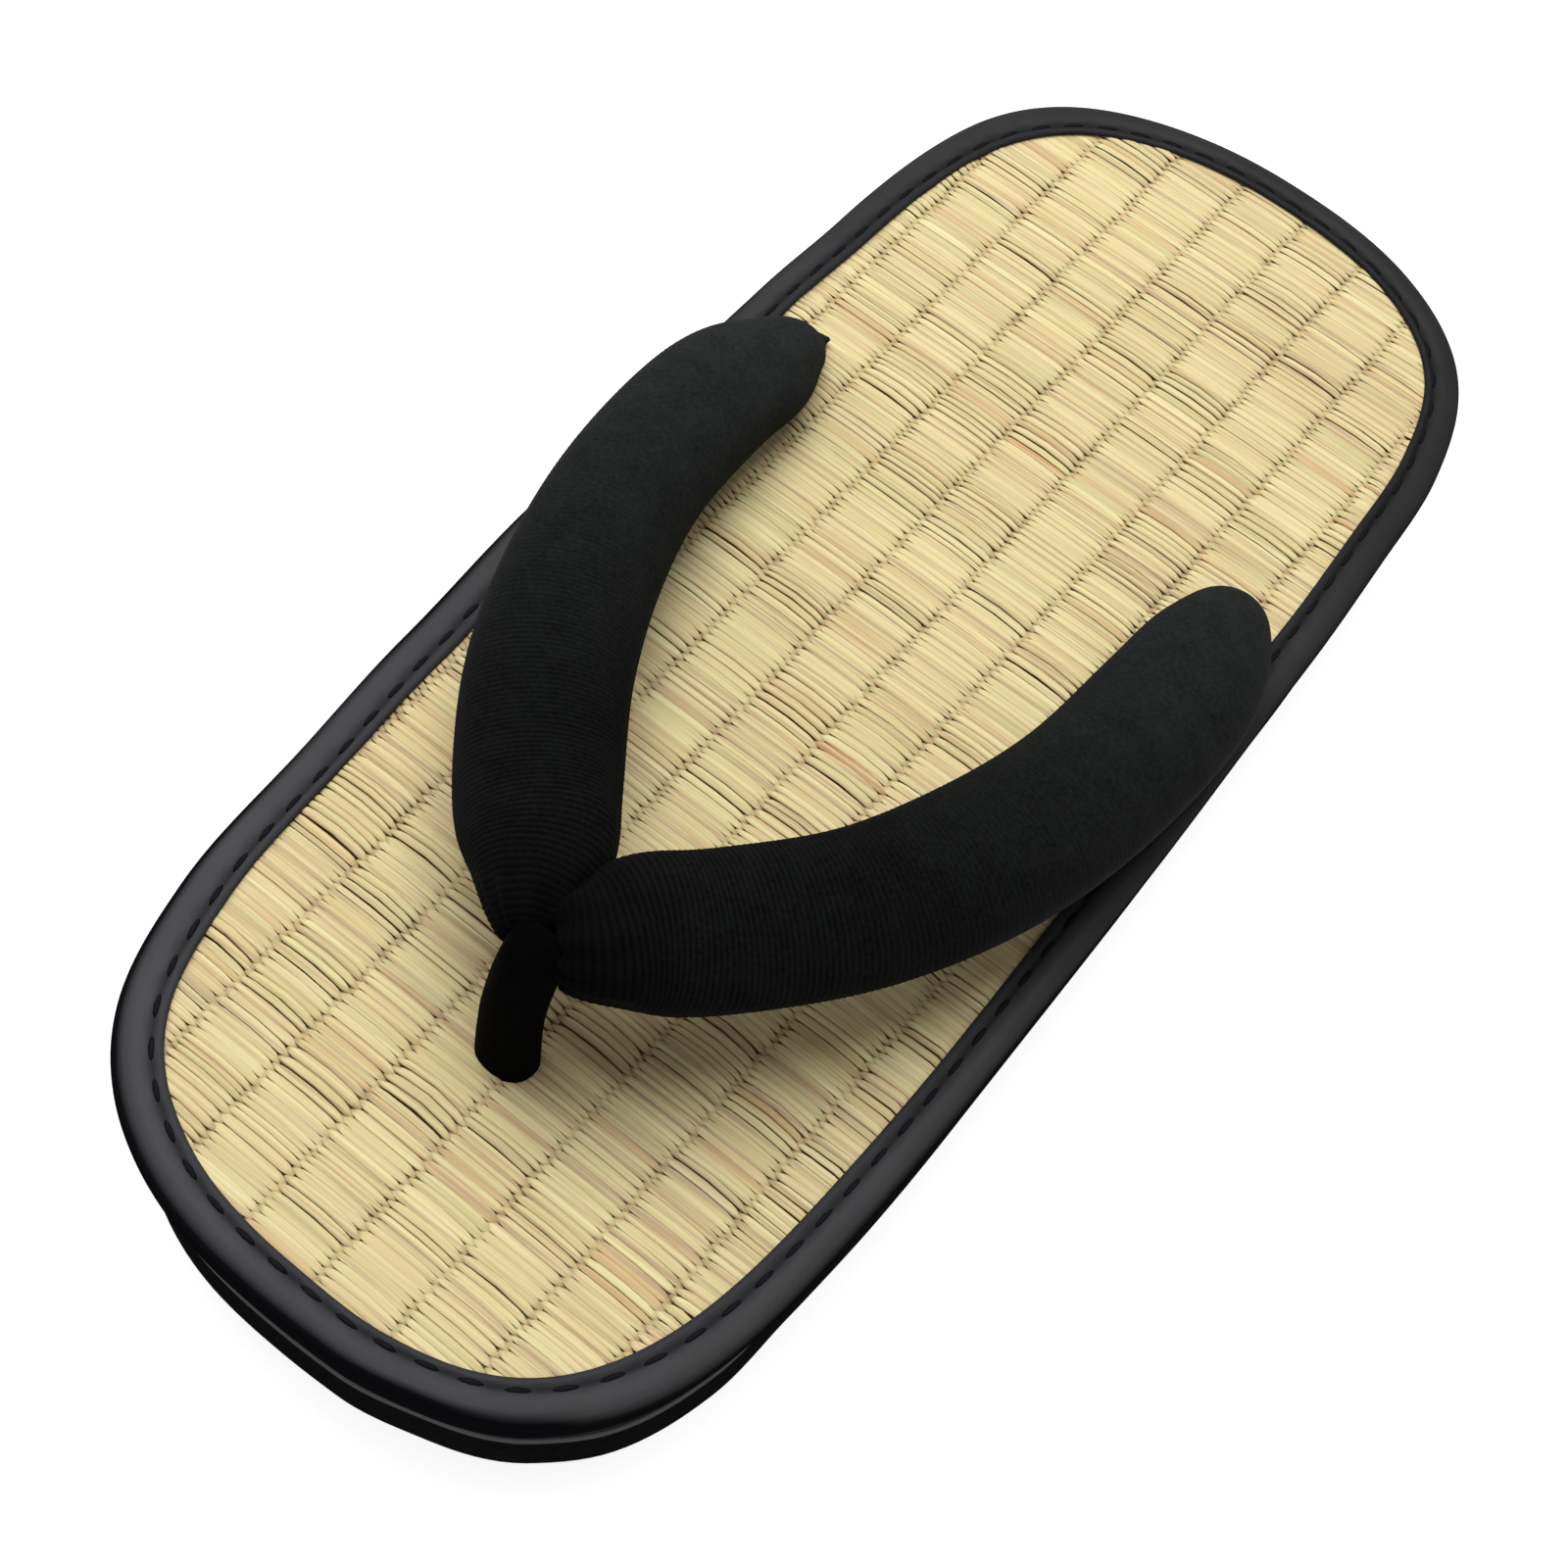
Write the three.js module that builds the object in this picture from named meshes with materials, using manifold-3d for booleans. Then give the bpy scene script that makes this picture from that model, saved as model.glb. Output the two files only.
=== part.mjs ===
// A rush-topped thong sandal: a flat rubber sole, a padded insole, a woven rush mat, the binding
// that wraps their edge, and a padded V strap whose point is held by a toe post.
// Millimetres. +Z is up, the toe points to -Y, and the floor is the plane Z = 0.

import * as THREE from 'three';
import { mergeVertices } from 'three/addons/utils/BufferGeometryUtils.js';
import Module from 'manifold-3d';

const wasm = await Module();
wasm.setup();

// Plan of the mat that shows inside the binding. A higher power makes an end squarer.
const MAT_WIDTH = 94;
const MAT_LENGTH = 241;
const TOE_END = { across: 2.84, along: 5.8 };
const HEEL_END = { across: 2.46, along: 7.2 };
const PLAN_POINTS = 88;
const LENGTH_STEPS = 20000;

// Layers, from the floor up.
const SOLE_HEIGHT = 13;
const INSOLE_HEIGHT = 8.5;
const MAT_THICKNESS = 3.5;
const INSOLE_TOP = SOLE_HEIGHT + INSOLE_HEIGHT;
const MAT_TOP = INSOLE_TOP + MAT_THICKNESS;
const GAP = 0.3;

// The binding covers this much beyond the mat's edge, and the sole is set back under it.
const BINDING_REACH = 6.8;
const BINDING_WALL = 2.6;
const SOLE_SETBACK = 1.7;
const LAYER_REACH = BINDING_REACH - BINDING_WALL - GAP;

// The sole's side from the floor up, with a bead along its top rim. out is measured from the
// sole's own outline, up from the floor.
const SOLE_SIDE = [
  { out: -1.2, up: 0 },
  { out: -0.35, up: 0.35 },
  { out: 0, up: 1.2 },
  { out: -0.4, up: 10.2 },
  { out: 0.25, up: 10.9 },
  { out: 0.5, up: 11.8 },
  { out: 0.2, up: 12.7 },
  { out: -0.5, up: SOLE_HEIGHT },
];

// The binding's skin, from its tucked lower edge, up its side, over the crest, through the sewn
// groove and down its inner lip. out is measured from the mat's edge, up from the mat's top.
const BINDING_SKIN = [
  { out: 4.8, up: SOLE_HEIGHT - MAT_TOP },
  { out: 5.6, up: -11 },
  { out: 6.2, up: -8.5 },
  { out: 6.7, up: -4.5 },
  { out: BINDING_REACH, up: -1.8 },
  { out: 6.45, up: -0.4 },
  { out: 5.8, up: 0.6 },
  { out: 4.8, up: 1.15 },
  { out: 3.5, up: 1.3 },
  { out: 2.5, up: 1.05 },
  { out: 2, up: 0.75 },
  { out: 1.5, up: 1 },
  { out: 0.7, up: 1.05 },
  { out: 0, up: 0.6 },
  { out: 0, up: 0 },
];

// Straight cross grooves of the tread, kept inside a plain border.
const GROOVE_WIDTH = 3;
const GROOVE_DEPTH = 1.6;
const GROOVE_PITCH = 9;
const TREAD_BORDER = 9;
const TREAD_FIELDS = [
  { from: -94, grooves: 11 },
  { from: 40, grooves: 7 },
];

// The right arm of the strap from its point at the toe post to its root in the mat: the middle of
// each section, its rise above the mat, its width across the strap and its depth through it.
const ARM_SECTIONS = [
  { x: 1.6, y: -76.8, rise: 26.6, width: 6, depth: 7 },
  { x: 4.6, y: -72, rise: 26.4, width: 13.4, depth: 13 },
  { x: 9, y: -64.8, rise: 24.6, width: 20, depth: 17 },
  { x: 16, y: -56.2, rise: 21.8, width: 22.4, depth: 18 },
  { x: 27.4, y: -40.2, rise: 18.8, width: 23, depth: 18 },
  { x: 35.8, y: -22, rise: 16.2, width: 22.6, depth: 17.4 },
  { x: 40.4, y: -3, rise: 13.2, width: 22.2, depth: 16.6 },
  { x: 42, y: 18, rise: 9.4, width: 22, depth: 16.2 },
  { x: 41.4, y: 30, rise: 7.8, width: 18.4, depth: 14.2 },
  { x: 40.2, y: 38, rise: 5, width: 12.4, depth: 11 },
  { x: 39.6, y: 41.2, rise: 0.6, width: 9.6, depth: 9.4 },
  { x: 39.5, y: 41.6, rise: GAP - MAT_THICKNESS, width: 9.4, depth: 9.4 },
];
const ARM_ROOT = { x: 39.5, y: 41.5, width: 9.6 };

// The toe post from its root in the mat to the strap's point.
const POST_SECTIONS = [
  { x: 0.8, y: -80.6, rise: GAP - MAT_THICKNESS, width: 8.8, depth: 8 },
  { x: 0.8, y: -80.5, rise: 1, width: 9, depth: 8 },
  { x: 0.5, y: -79.6, rise: 12, width: 8.4, depth: 7.8 },
  { x: 0, y: -78.2, rise: 21, width: 8.4, depth: 8.2 },
  { x: 0, y: -76.4, rise: 26.5, width: 8.6, depth: 8.6 },
];
const POST_ROOT = { x: 0.8, y: -80.6, width: 9.2 };

// The strap is set by hand: the right arm's root is this far back of its place, the left one's ahead.
const ROOT_LEAD = 1.4;
const STATIONS_PER_ROW = 3;
const SECTION_SIDES = 20;
const HOLE_SIDES = 24;

// The rounded oblong plan of the mat, the toe end blunter than the heel.
class MatOutline extends THREE.Curve {
  getPoint(t, target = new THREE.Vector3()) {
    const across = Math.cos(2 * Math.PI * t);
    const along = Math.sin(2 * Math.PI * t);
    const end = along < 0 ? TOE_END : HEEL_END;
    return target.set(
      (MAT_WIDTH / 2) * Math.sign(across) * Math.abs(across) ** (2 / end.across),
      (MAT_LENGTH / 2) * Math.sign(along) * Math.abs(along) ** (2 / end.along),
      0,
    );
  }
}

const outline = new MatOutline();
outline.arcLengthDivisions = LENGTH_STEPS;
const planPoints = outline.getSpacedPoints(PLAN_POINTS).slice(0, PLAN_POINTS);
const planNormals = planPoints.map((point, i) => {
  const before = planPoints[(i + PLAN_POINTS - 1) % PLAN_POINTS];
  const after = planPoints[(i + 1) % PLAN_POINTS];
  return new THREE.Vector3(after.y - before.y, before.x - after.x, 0).normalize();
});

// One turn around the plan, stepped out from the mat's edge at one height.
function planRing(out, height) {
  return planPoints.map((point, i) => {
    const stepped = point.clone().addScaledVector(planNormals[i], out);
    return stepped.setZ(height);
  });
}

// A closed skin over rings that all have the same number of points. The rings either come back to
// the first one, as a ring of constant section, or the first and last are closed by fans.
function skin(rings, comesBack = false) {
  const sides = rings[0].length;
  const points = rings.flat();
  const triangles = [];
  const spans = comesBack ? rings.length : rings.length - 1;
  for (let r = 0; r < spans; r += 1) {
    const low = r * sides;
    const high = ((r + 1) % rings.length) * sides;
    for (let i = 0; i < sides; i += 1) {
      const next = (i + 1) % sides;
      triangles.push(low + i, low + next, high + next);
      triangles.push(low + i, high + next, high + i);
    }
  }
  if (!comesBack) {
    const last = (rings.length - 1) * sides;
    closeByFan(points, triangles, 0, sides, true);
    closeByFan(points, triangles, last, sides, false);
  }
  const geometry = new THREE.BufferGeometry().setFromPoints(points);
  geometry.setIndex(triangles);
  return geometry;
}

function closeByFan(points, triangles, start, sides, reversed) {
  const middle = new THREE.Vector3();
  for (let i = 0; i < sides; i += 1) {
    middle.addScaledVector(points[start + i], 1 / sides);
  }
  const centre = points.push(middle) - 1;
  for (let i = 0; i < sides; i += 1) {
    const here = start + i;
    const next = start + ((i + 1) % sides);
    triangles.push(centre, reversed ? next : here, reversed ? here : next);
  }
}

// A padded tube through rows of sections: x, y, rise above the mat, width and depth.
function paddedTube(rows, extra = 0) {
  const middles = rows.map((row) => new THREE.Vector3(row.x, row.y, MAT_TOP + row.rise));
  const sizes = rows.map((row) => new THREE.Vector3(row.width + extra, row.depth + extra, 0));
  const path = new THREE.CatmullRomCurve3(middles);
  const size = new THREE.CatmullRomCurve3(sizes);
  const stations = (rows.length - 1) * STATIONS_PER_ROW;
  const up = new THREE.Vector3(0, 0, 1);
  const side = new THREE.Vector3();
  const rings = [];
  for (let s = 0; s <= stations; s += 1) {
    const middle = path.getPoint(s / stations);
    const half = size.getPoint(s / stations).multiplyScalar(0.5);
    const ahead = path.getTangent(s / stations);
    const turned = new THREE.Vector3().crossVectors(ahead, up).normalize();
    side.copy(turned.dot(side) < 0 ? turned.negate() : turned);
    const outward = new THREE.Vector3().crossVectors(ahead, side);
    rings.push(sectionRing(middle, side, outward, half));
  }
  return skin(rings);
}

function sectionRing(middle, side, outward, half) {
  return Array.from({ length: SECTION_SIDES }, (_, i) => {
    const angle = (2 * Math.PI * i) / SECTION_SIDES;
    return middle
      .clone()
      .addScaledVector(side, half.x * Math.cos(angle))
      .addScaledVector(outward, half.y * Math.sin(angle));
  });
}

function solid(geometry) {
  const bare = geometry.clone();
  bare.deleteAttribute('normal');
  bare.deleteAttribute('uv');
  const merged = mergeVertices(bare);
  return new wasm.Manifold(
    new wasm.Mesh({
      numProp: 3,
      vertProperties: new Float32Array(merged.attributes.position.array),
      triVerts: new Uint32Array(merged.index.array),
    }),
  );
}

function geometryOf(manifold) {
  const mesh = manifold.getMesh();
  const geometry = new THREE.BufferGeometry();
  geometry.setAttribute('position', new THREE.BufferAttribute(mesh.vertProperties, 3));
  geometry.setIndex(new THREE.BufferAttribute(mesh.triVerts, 1));
  geometry.computeVertexNormals();
  return geometry;
}

// A slab over the whole plan, as a layer or as a tool.
function planSlab(out, low, high) {
  return solid(skin([planRing(out, low), planRing(out, high)]));
}

// An upright round plug at a root, from a low level to well above the mat.
function rootPlug(root, extra, low) {
  const radius = (root.width + extra) / 2;
  const height = MAT_TOP + MAT_THICKNESS - low;
  const plug = new THREE.CylinderGeometry(radius, radius, height, HOLE_SIDES);
  plug.rotateX(Math.PI / 2);
  plug.translate(root.x, root.y, low + height / 2);
  return solid(plug);
}

// Rows of the right or the left arm, with the lead growing from the middle of the sole to the root.
function armRows(rows, hand) {
  return rows.map((row) => {
    const lead = ROOT_LEAD * THREE.MathUtils.smoothstep(row.y, 0, ARM_ROOT.y);
    return { ...row, x: hand * row.x, y: row.y + hand * lead };
  });
}

const RIGHT = 1;
const LEFT = -1;
const armRoots = [...armRows([ARM_ROOT], RIGHT), ...armRows([ARM_ROOT], LEFT)];

function outsole() {
  const reach = BINDING_REACH - SOLE_SETBACK;
  const body = solid(skin(SOLE_SIDE.map((row) => planRing(reach + row.out, row.up))));
  const field = planSlab(reach - TREAD_BORDER, -GROOVE_DEPTH, GROOVE_DEPTH);
  let cut = body;
  for (const { from, grooves } of TREAD_FIELDS) {
    for (let g = 0; g < grooves; g += 1) {
      const bar = new THREE.BoxGeometry(2 * MAT_WIDTH, GROOVE_WIDTH, 2 * GROOVE_DEPTH);
      bar.translate(0, from + g * GROOVE_PITCH, 0);
      cut = cut.subtract(solid(bar).intersect(field));
    }
  }
  return cut;
}

function insole() {
  return planSlab(LAYER_REACH, SOLE_HEIGHT, INSOLE_TOP);
}

function rushMat() {
  return [...armRoots, POST_ROOT].reduce(
    (mat, root) => mat.subtract(rootPlug(root, 2 * GAP, SOLE_HEIGHT)),
    planSlab(LAYER_REACH, INSOLE_TOP, MAT_TOP),
  );
}

function edgeBinding() {
  const inside = BINDING_REACH - BINDING_WALL;
  const section = [
    ...BINDING_SKIN,
    { out: inside, up: 0 },
    { out: inside, up: SOLE_HEIGHT - MAT_TOP },
  ];
  const rings = section.map((row) => planRing(row.out, MAT_TOP + row.up));
  return solid(skin(rings, true));
}

// What a tube must keep clear of: the mat and the insole, but for the mat's holes at its roots.
function footing(roots) {
  return roots.reduce(
    (slab, root) => slab.subtract(rootPlug(root, 0, INSOLE_TOP + GAP)),
    planSlab(LAYER_REACH, SOLE_HEIGHT, MAT_TOP + GAP),
  );
}

function strapArms(extra) {
  const right = solid(paddedTube(armRows(ARM_SECTIONS, RIGHT), extra));
  const left = solid(paddedTube(armRows(ARM_SECTIONS, LEFT), extra));
  return right.add(left);
}

function strap() {
  return strapArms(0).subtract(footing(armRoots));
}

function toePost() {
  return solid(paddedTube(POST_SECTIONS))
    .subtract(strapArms(2 * GAP))
    .subtract(footing([POST_ROOT]));
}

function piece(name, manifold, colour, roughness) {
  const material = new THREE.MeshStandardMaterial({ color: colour, roughness, metalness: 0 });
  const mesh = new THREE.Mesh(geometryOf(manifold), material);
  mesh.name = name;
  return mesh;
}

const sandal = new THREE.Group();
sandal.add(piece('outsole', outsole(), '#141414', 0.75));
sandal.add(piece('insole', insole(), '#8a7a5c', 0.95));
sandal.add(piece('rush_mat', rushMat(), '#d8c690', 0.7));
sandal.add(piece('edge_binding', edgeBinding(), '#3d3d41', 0.45));
sandal.add(piece('strap', strap(), '#1b1d1d', 0.9));
sandal.add(piece('toe_post', toePost(), '#0c0c0e', 0.95));

export default sandal;
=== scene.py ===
# %% [markdown]
# # A rush-topped thong sandal
#
# The sandal is a flat slab: a black rubber sole, a padded board, a mat of woven rush and a vinyl
# binding sewn round the edge. A V of padded cloth crosses it, held at the front by a velvet toe
# post. The solids come from CAD and fix every size and place. Each step below makes one piece or
# one finish over them, so that the pieces can be read and changed one at a time.

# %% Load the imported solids
import math
import random

import bmesh
import bpy
from mathutils import Matrix, Vector, noise


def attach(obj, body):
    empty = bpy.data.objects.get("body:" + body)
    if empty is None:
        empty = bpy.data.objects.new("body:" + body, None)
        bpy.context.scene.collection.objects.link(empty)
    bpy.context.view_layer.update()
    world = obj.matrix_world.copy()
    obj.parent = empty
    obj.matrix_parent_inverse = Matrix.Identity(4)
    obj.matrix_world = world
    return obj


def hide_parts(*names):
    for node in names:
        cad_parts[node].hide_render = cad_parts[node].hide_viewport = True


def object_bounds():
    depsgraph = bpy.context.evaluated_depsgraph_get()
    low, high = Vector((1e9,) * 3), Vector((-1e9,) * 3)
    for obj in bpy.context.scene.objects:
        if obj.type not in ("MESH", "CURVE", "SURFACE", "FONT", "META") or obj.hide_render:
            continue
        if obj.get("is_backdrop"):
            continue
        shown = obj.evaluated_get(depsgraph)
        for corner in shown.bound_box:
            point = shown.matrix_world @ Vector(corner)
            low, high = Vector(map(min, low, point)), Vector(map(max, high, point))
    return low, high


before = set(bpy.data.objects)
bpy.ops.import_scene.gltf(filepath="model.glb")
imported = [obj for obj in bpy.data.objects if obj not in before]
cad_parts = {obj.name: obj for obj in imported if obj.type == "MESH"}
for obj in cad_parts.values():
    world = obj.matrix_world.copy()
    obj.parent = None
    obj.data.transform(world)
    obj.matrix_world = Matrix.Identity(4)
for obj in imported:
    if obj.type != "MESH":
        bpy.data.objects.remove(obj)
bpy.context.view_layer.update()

MM = 0.001
BODY = "root"

# %% [markdown]
# ## Camera
#
# The photograph looks down over the toe, a little from the right, with the picture rolled. A
# camera could be aimed with a constraint, but a roll is easier to give as three axes: the line
# back to the lens, the picture's right and the picture's up. The lens follows from the focal
# length in pixels of a square picture 1600 pixels wide.

# %% Set the camera
PHOTO_SIDE = 1600
FOCAL_PIXELS = 2501
SENSOR_WIDTH = 36
CAMERA_AIM = Vector((4.10, -23.38, 25.0)) * MM
CAMERA_DISTANCE = 357.37 * MM
NEAREST_SEEN = 10 * MM
AZIMUTH = math.radians(25.60)
ELEVATION = math.radians(61.74)
ROLL = math.radians(13.31)


def to_scene(name, data):
    """An object of some data, put in the scene."""
    made = bpy.data.objects.new(name, data)
    bpy.context.scene.collection.objects.link(made)
    return made


to_lens = Vector((
    math.sin(AZIMUTH) * math.cos(ELEVATION),
    -math.cos(AZIMUTH) * math.cos(ELEVATION),
    math.sin(ELEVATION),
))
level = Vector((math.cos(AZIMUTH), math.sin(AZIMUTH), 0))
picture_right = math.cos(ROLL) * level + math.sin(ROLL) * to_lens.cross(level)
picture_up = to_lens.cross(picture_right)

camera = to_scene("camera", bpy.data.cameras.new("camera"))
camera.data.sensor_width = SENSOR_WIDTH
camera.data.lens = SENSOR_WIDTH * FOCAL_PIXELS / PHOTO_SIDE
camera.data.clip_start = NEAREST_SEEN
turn = Matrix((picture_right, picture_up, to_lens)).transposed().to_4x4()
camera.matrix_world = Matrix.Translation(CAMERA_AIM + to_lens * CAMERA_DISTANCE) @ turn
bpy.context.scene.camera = camera
print("camera at", [round(value / MM) for value in camera.matrix_world.translation], "mm")

# %% [markdown]
# ## Light
#
# The picture is high key: a white surround, and a narrow soft shade on the mat along the right of
# each arm of the strap. So the light is broad and nearly overhead, a little to the left. One small
# lamp would give hard edges, so a wide panel gives the form and an even white sky fills the rest.

# %% Set the sky and the two panels
SKY_STRENGTH = 0.36
PANELS = {
    "main_panel": {"place": (-0.2, 0.24, 1.06), "size": 0.95, "watts": 15.2},
    "left_panel": {"place": (-0.75, 0.15, 0.6), "size": 0.5, "watts": 2.0},
}

sky = bpy.data.worlds.new("studio_sky")
sky.use_nodes = True
background = sky.node_tree.nodes["Background"]
background.inputs["Color"].default_value = (1, 1, 1, 1)
background.inputs["Strength"].default_value = SKY_STRENGTH
bpy.context.scene.world = sky
bpy.context.scene.view_settings.view_transform = "Standard"

for name, panel in PANELS.items():
    lamp = bpy.data.lights.new(name, "AREA")
    lamp.shape = "DISK"
    lamp.size = panel["size"]
    lamp.energy = panel["watts"]
    holder = to_scene(name, lamp)
    holder.location = panel["place"]
    holder.rotation_euler = (-Vector(panel["place"])).to_track_quat("-Z", "Y").to_euler()
print("sky strength", SKY_STRENGTH, "and", len(PANELS), "panels")

# %% [markdown]
# ## Shader sums
#
# A material is a graph of nodes, and a graph is hard to read in code. The class below wraps one
# output socket and turns Python's own sums into Math nodes, so that a mask can be written as
# `1 - edge * 0.5`. Every other node comes from its one method `node`.

# %% A socket that adds up like a number
class Wire:
    """One output socket of a material's nodes."""

    def __init__(self, tree, socket=None):
        self.tree = tree
        self.socket = socket

    def node(self, kind, inputs=None, output=0, stops=None, **settings):
        """Adds a node, sets it up, feeds its sockets and gives one of its outputs."""
        made = self.tree.nodes.new(kind)
        for name, value in settings.items():
            setattr(made, name, value)
        if stops:
            elements = made.color_ramp.elements
            elements.remove(elements[1])
            elements[0].position = stops[0][0]
            for place, _ in stops[1:]:
                elements.new(place)
            for element, (_, colour) in zip(elements, stops):
                element.color = (*colour, 1)
        for name, value in (inputs or {}).items():
            if isinstance(value, Wire):
                self.tree.links.new(value.socket, made.inputs[name])
            else:
                made.inputs[name].default_value = value
        return Wire(self.tree, made.outputs[output])

    def maths(self, operation, first, second=0.0):
        """A Math node on one or two values."""
        return self.node("ShaderNodeMath", {0: first, 1: second}, operation=operation)

    def __add__(self, other):
        return self.maths("ADD", self, other)

    def __sub__(self, other):
        return self.maths("SUBTRACT", self, other)

    def __rsub__(self, other):
        return self.maths("SUBTRACT", other, self)

    def __mul__(self, other):
        return self.maths("MULTIPLY", self, other)

    __radd__ = __add__
    __rmul__ = __mul__

    def clamped(self):
        """This value kept from 0 to 1."""
        return self.node("ShaderNodeClamp", {"Value": self})


# %% Short names for the nodes that every finish uses
def new_finish(name):
    """An empty material and a wire to start its graph from."""
    material = bpy.data.materials.new(name)
    material.use_nodes = True
    return material, Wire(material.node_tree)


def set_shader(material, values):
    """Sets or links the sockets of the material's one shader."""
    shader = material.node_tree.nodes["Principled BSDF"]
    for name, value in values.items():
        if isinstance(value, Wire):
            material.node_tree.links.new(value.socket, shader.inputs[name])
        else:
            shader.inputs[name].default_value = value


def stretched(start, scale):
    """Object coordinates, scaled by axis, in metres before the scale."""
    place = start.node("ShaderNodeTexCoord", output="Object")
    return start.node("ShaderNodeMapping", {"Vector": place, "Scale": scale})


def grain(start, scale, detail=3.0):
    """Fractal noise from 0 to 1; scale is the number of lumps in a metre on each axis."""
    place = stretched(start, scale)
    return start.node("ShaderNodeTexNoise", {"Vector": place, "Scale": 1.0, "Detail": detail})


def cells(start, count):
    """Round cells, 0 in the middle of each; count is their number in a metre."""
    place = stretched(start, (count, count, count))
    return start.node("ShaderNodeTexVoronoi", {"Vector": place, "Scale": 1.0})


def along_axis(start, axis):
    """The place on one axis of the sandal, in metres."""
    place = start.node("ShaderNodeTexCoord", output="Object")
    return start.node("ShaderNodeSeparateXYZ", {"Vector": place}, output=axis)


def painted(start, name):
    """A value that the mesh carries at its vertices."""
    return start.node("ShaderNodeAttribute", output="Fac", attribute_name=name)


def mixed(factor, first, second, blend="MIX"):
    """Two colours mixed by a factor. A Mix node has its colours at inputs 6 and 7 and output 2."""
    return factor.node(
        "ShaderNodeMix", {0: factor, 6: first, 7: second}, output=2,
        data_type="RGBA", blend_type=blend,
    )


def bumped(height, distance, strength=1.0):
    """A normal from a height; distance is the height of 1 in metres."""
    inputs = {"Height": height, "Distance": distance, "Strength": strength}
    return height.node("ShaderNodeBump", inputs, output="Normal")


print("shader helpers ready")

# %% [markdown]
# ## From a bmesh to a piece
#
# Every new piece ends in the same way: its mesh becomes an object at the origin, gets its finish,
# rides on the one body of the sandal and hides the solid it stands for.

# %% Finish a piece
def mesh_of(name, shape):
    """A mesh of a bmesh, which is used up."""
    mesh = bpy.data.meshes.new(name)
    shape.to_mesh(mesh)
    shape.free()
    return mesh


def add_piece(name, shape, material, stands_for, sharp_degrees=None):
    """Makes the object of a bmesh, ties it to the sandal's body and hides the solid it stands for.
    """
    mesh = mesh_of(name, shape)
    mesh.shade_smooth()
    if sharp_degrees:
        mesh.set_sharp_from_angle(angle=math.radians(sharp_degrees))
    mesh.materials.append(material)
    piece = to_scene(name, mesh)
    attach(piece, BODY)
    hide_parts(stands_for)
    print(name, len(mesh.vertices), "points,", len(mesh.polygons), "faces")
    return piece


def keep_modifiers(piece):
    """Turns a piece's modifiers into plain mesh."""
    bpy.context.view_layer.update()
    solved = piece.evaluated_get(bpy.context.evaluated_depsgraph_get())
    old = piece.data
    piece.data = bpy.data.meshes.new_from_object(solved)
    piece.modifiers.clear()
    bpy.data.meshes.remove(old)


def round_off(piece, levels):
    """Rounds a piece by subdivision and keeps the result."""
    rounding = piece.modifiers.new("rounding", "SUBSURF")
    rounding.levels = rounding.render_levels = levels
    keep_modifiers(piece)
    print(piece.name, len(piece.data.polygons), "faces after rounding")


print("piece helpers ready")

# %% [markdown]
# ## Floor
#
# A plain white table under the sandal. A grey plane would need much more light from above to look
# white, and the sandal would be too bright under it. So the table glows, as a lit one does, and the
# shadow on it stays pale. It is marked as backdrop, so the sandal's measured size leaves it out.

# %% Lay the floor
FLOOR_HALF = 4.0
FLOOR_FINISH = {
    "Base Color": (0.32, 0.32, 0.32, 1),
    "Roughness": 0.9,
    "Specular IOR Level": 0.0,
    "Emission Color": (1, 1, 1, 1),
    "Emission Strength": 0.86,
}

white_table, _ = new_finish("white_table")
set_shader(white_table, FLOOR_FINISH)
shape = bmesh.new()
bmesh.ops.create_grid(shape, x_segments=1, y_segments=1, size=FLOOR_HALF)
floor = to_scene("floor", mesh_of("floor", shape))
floor.data.materials.append(white_table)
floor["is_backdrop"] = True
print("floor", 2 * FLOOR_HALF, "m wide")

# %% [markdown]
# ## The plan of the sandal
#
# The mat, the binding and the sole all follow one outline: nearly straight sides with a broad
# round toe and a slightly squarer heel. A superellipse with its own powers for each end gives it
# from four numbers. Points are wanted at even steps along the edge, because the stitches are.
# The binding was bent round by hand, so its edge wanders from the plan by up to 1.5 mm, as a table
# of places round the edge says.

# %% Walk round the edge of the mat
MAT_WIDTH = 94
MAT_LENGTH = 241
TOE_POWERS = {"across": 2.84, "along": 5.8}
HEEL_POWERS = {"across": 2.46, "along": 7.2}
STITCH_COUNT = 104
POINTS_PER_STITCH = 4
EDGE_POINTS = STITCH_COUNT * POINTS_PER_STITCH
FINE_STEPS = 20000
EDGE_WANDER = [  # share of the way round from the right side's middle, mm outwards
    (0.0, 0.1), (0.08, -0.45), (0.12, -0.9), (0.15, -0.3), (0.18, 0.4), (0.21, -0.15), (0.25, -0.4),
    (0.295, -1.5), (0.34, -0.5), (0.39, -0.2), (0.425, 0.7), (0.52, 0.9), (0.57, -0.2),
    (0.61, -1.0), (0.65, -0.25), (0.68, 0.6), (0.71, -0.05), (0.75, 0.2), (0.765, 0.15),
    (0.785, -0.35), (0.806, -0.2), (0.83, 0.0), (0.88, -0.4), (0.93, 0.0), (1.0, 0.1),
]


def smooth(share):
    """A share from 0 to 1 with a soft start and a soft end."""
    return share * share * (3 - 2 * share)


def wander_at(share, table):
    """The value of a table of shares of the way round, on a smooth curve through it."""
    for (low, before), (high, after) in zip(table, table[1:]):
        if low <= share <= high:
            return before + (after - before) * smooth((share - low) / (high - low))
    return 0.0


def powers_at(y):
    """The powers of the end that a place belongs to."""
    return TOE_POWERS if y < 0 else HEEL_POWERS


def mat_half_width(y, reach=0.0):
    """Half the width of the mat at y, in mm; reach widens the whole outline."""
    share = min(abs(y) / (MAT_LENGTH / 2 + reach), 1)
    powers = powers_at(y)
    return (MAT_WIDTH / 2 + reach) * (1 - share ** powers["along"]) ** (1 / powers["across"])


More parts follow.
